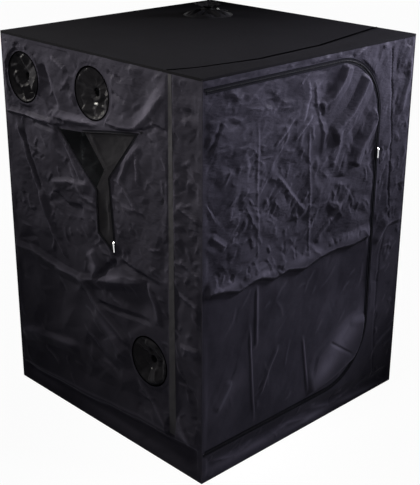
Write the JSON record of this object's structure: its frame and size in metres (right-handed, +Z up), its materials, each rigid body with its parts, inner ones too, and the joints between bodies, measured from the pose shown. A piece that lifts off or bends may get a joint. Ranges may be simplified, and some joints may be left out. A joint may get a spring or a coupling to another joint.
{
  "type": "grow tent",
  "caption": "Tall square tent with a push-fit tube frame, a sewn black cover with a D-shaped zip door, gathered duct sleeves with cord locks, hanging bars and a lift-out floor tray.",
  "frame": {"origin": "on the ground under the middle of the tent", "axes": "+Z up, -Y towards the door, -X towards the wall with the duct sleeves and the access slit"},
  "size_m": [1.5097, 1.5097, 2.0708],
  "materials": {
    "cover_cloth": "coated black cloth with a slight sheen",
    "roof_cloth": "matte black cloth",
    "floor_cloth": "dark waterproof cloth",
    "tube_steel": "satin light grey powder coat",
    "black_plastic": "matte black",
    "grey_plastic": "matte light grey",
    "zip_tape": "woven black tape",
    "bright_metal": "bright nickel",
    "cord_braid": "black braided cord"
  },
  "bodies": {
    "cover_and_frame": {"access_flap": "cover_cloth", "access_zip_tape": "zip_tape", "back_wall": "cover_cloth", "bottom_connector_back_left": "black_plastic", "bottom_connector_back_right": "black_plastic", "bottom_connector_front_left": "black_plastic", "bottom_connector_front_right": "black_plastic", "bottom_rail_back": "tube_steel", "bottom_rail_front": "tube_steel", "bottom_rail_left": "tube_steel", "bottom_rail_right": "tube_steel", "floor_sheet": "floor_cloth", "front_surround": "cover_cloth", "left_wall": "cover_cloth", "low_drawcord": "cord_braid", "low_sleeve": "cover_cloth", "lower_upright_back_left": "tube_steel", "lower_upright_back_right": "tube_steel", "lower_upright_front_left": "tube_steel", "lower_upright_front_right": "tube_steel", "middle_drawcord": "cord_braid", "middle_sleeve": "cover_cloth", "rear_drawcord": "cord_braid", "rear_sleeve": "cover_cloth", "right_wall": "cover_cloth", "roof_drawcord": "cord_braid", "roof_panel": "roof_cloth", "roof_sleeve": "cover_cloth", "side_seam_strip": "cover_cloth", "surround_zip_tape": "zip_tape", "top_connector_back_left": "black_plastic", "top_connector_back_right": "black_plastic", "top_connector_front_left": "black_plastic", "top_connector_front_right": "black_plastic", "top_rail_back": "tube_steel", "top_rail_front": "tube_steel", "top_rail_left": "tube_steel", "top_rail_right": "tube_steel", "upper_upright_back_left": "tube_steel", "upper_upright_back_right": "tube_steel", "upper_upright_front_left": "tube_steel", "upper_upright_front_right": "tube_steel"},
    "door": {"door_panel": "cover_cloth", "door_zip_tape": "zip_tape"},
    "door_slider": {"door_slider": "bright_metal"},
    "door_pull_tab": {"door_pull_tab": "bright_metal"},
    "access_slider": {"access_slider": "bright_metal"},
    "access_pull_tab": {"access_pull_tab": "bright_metal"},
    "floor_tray": {"floor_tray": "floor_cloth"},
    "hanging_bar_left": {"hanging_bar_left": "tube_steel"},
    "hanging_bar_right": {"hanging_bar_right": "tube_steel"},
    "rear_cord_lock": {"rear_cord_lock": "grey_plastic"},
    "rear_cord_lock_button": {"rear_cord_lock_button": "grey_plastic"},
    "middle_cord_lock": {"middle_cord_lock": "grey_plastic"},
    "middle_cord_lock_button": {"middle_cord_lock_button": "grey_plastic"},
    "low_cord_lock": {"low_cord_lock": "grey_plastic"},
    "low_cord_lock_button": {"low_cord_lock_button": "grey_plastic"},
    "roof_cord_lock": {"roof_cord_lock": "grey_plastic"},
    "roof_cord_lock_button": {"roof_cord_lock_button": "grey_plastic"}
  },
  "joints": [
    {"name": "door_hinge", "type": "hinge", "parent": "cover_and_frame", "child": "door", "pos_m": [-0.741, -0.75, 1.0535], "axis": [0, 0, -1], "range_deg": [0, 165]},
    {"name": "door_slider_slide", "type": "slide", "parent": "cover_and_frame", "child": "door_slider", "axis": [0, 0, 1], "range_m": [-0.94, 0.165]},
    {"name": "door_pull_hinge", "type": "hinge", "parent": "door_slider", "child": "door_pull_tab", "pos_m": [0.4875, -0.75673, 1.44545], "axis": [-1, 0, 0], "range_deg": [0, 150]},
    {"name": "access_slider_slide", "type": "slide", "parent": "cover_and_frame", "child": "access_slider", "axis": [0, 0.0795, 0.9968], "range_m": [-0.008, 0.3]},
    {"name": "access_pull_hinge", "type": "hinge", "parent": "access_slider", "child": "access_pull_tab", "pos_m": [-0.75673, -0.13062, 1.08463], "axis": [0, 0.9968, -0.0795], "range_deg": [0, 150]},
    {"name": "tray_lift", "type": "slide", "parent": "cover_and_frame", "child": "floor_tray", "axis": [0, 0, 1], "range_m": [0, 0.3]},
    {"name": "hanging_bar_left_slide", "type": "slide", "parent": "cover_and_frame", "child": "hanging_bar_left", "axis": [1, 0, 0], "range_m": [-0.15, 0.15]},
    {"name": "hanging_bar_right_slide", "type": "slide", "parent": "cover_and_frame", "child": "hanging_bar_right", "axis": [1, 0, 0], "range_m": [-0.15, 0.15]},
    {"name": "rear_lock_slide", "type": "slide", "parent": "cover_and_frame", "child": "rear_cord_lock", "axis": [-0.1219, 0, -0.9925], "range_m": [0, 0.03]},
    {"name": "rear_lock_press", "type": "slide", "parent": "rear_cord_lock", "child": "rear_cord_lock_button", "axis": [0, -1, 0], "range_m": [0, 0.003], "stiffness_N_per_m": 400, "springref_m": -0.004},
    {"name": "middle_lock_slide", "type": "slide", "parent": "cover_and_frame", "child": "middle_cord_lock", "axis": [-0.1219, 0, -0.9925], "range_m": [0, 0.03]},
    {"name": "middle_lock_press", "type": "slide", "parent": "middle_cord_lock", "child": "middle_cord_lock_button", "axis": [0, -1, 0], "range_m": [0, 0.003], "stiffness_N_per_m": 400, "springref_m": -0.004},
    {"name": "low_lock_slide", "type": "slide", "parent": "cover_and_frame", "child": "low_cord_lock", "axis": [-0.1219, 0, -0.9925], "range_m": [0, 0.03]},
    {"name": "low_lock_press", "type": "slide", "parent": "low_cord_lock", "child": "low_cord_lock_button", "axis": [0, -1, 0], "range_m": [0, 0.003], "stiffness_N_per_m": 400, "springref_m": -0.004},
    {"name": "roof_lock_slide", "type": "slide", "parent": "cover_and_frame", "child": "roof_cord_lock", "axis": [0.803, -0.5834, -0.1219], "range_m": [0, 0.03]},
    {"name": "roof_lock_press", "type": "slide", "parent": "roof_cord_lock", "child": "roof_cord_lock_button", "axis": [-0.5878, -0.809, 0], "range_m": [0, 0.003], "stiffness_N_per_m": 400, "springref_m": -0.004}
  ]
}
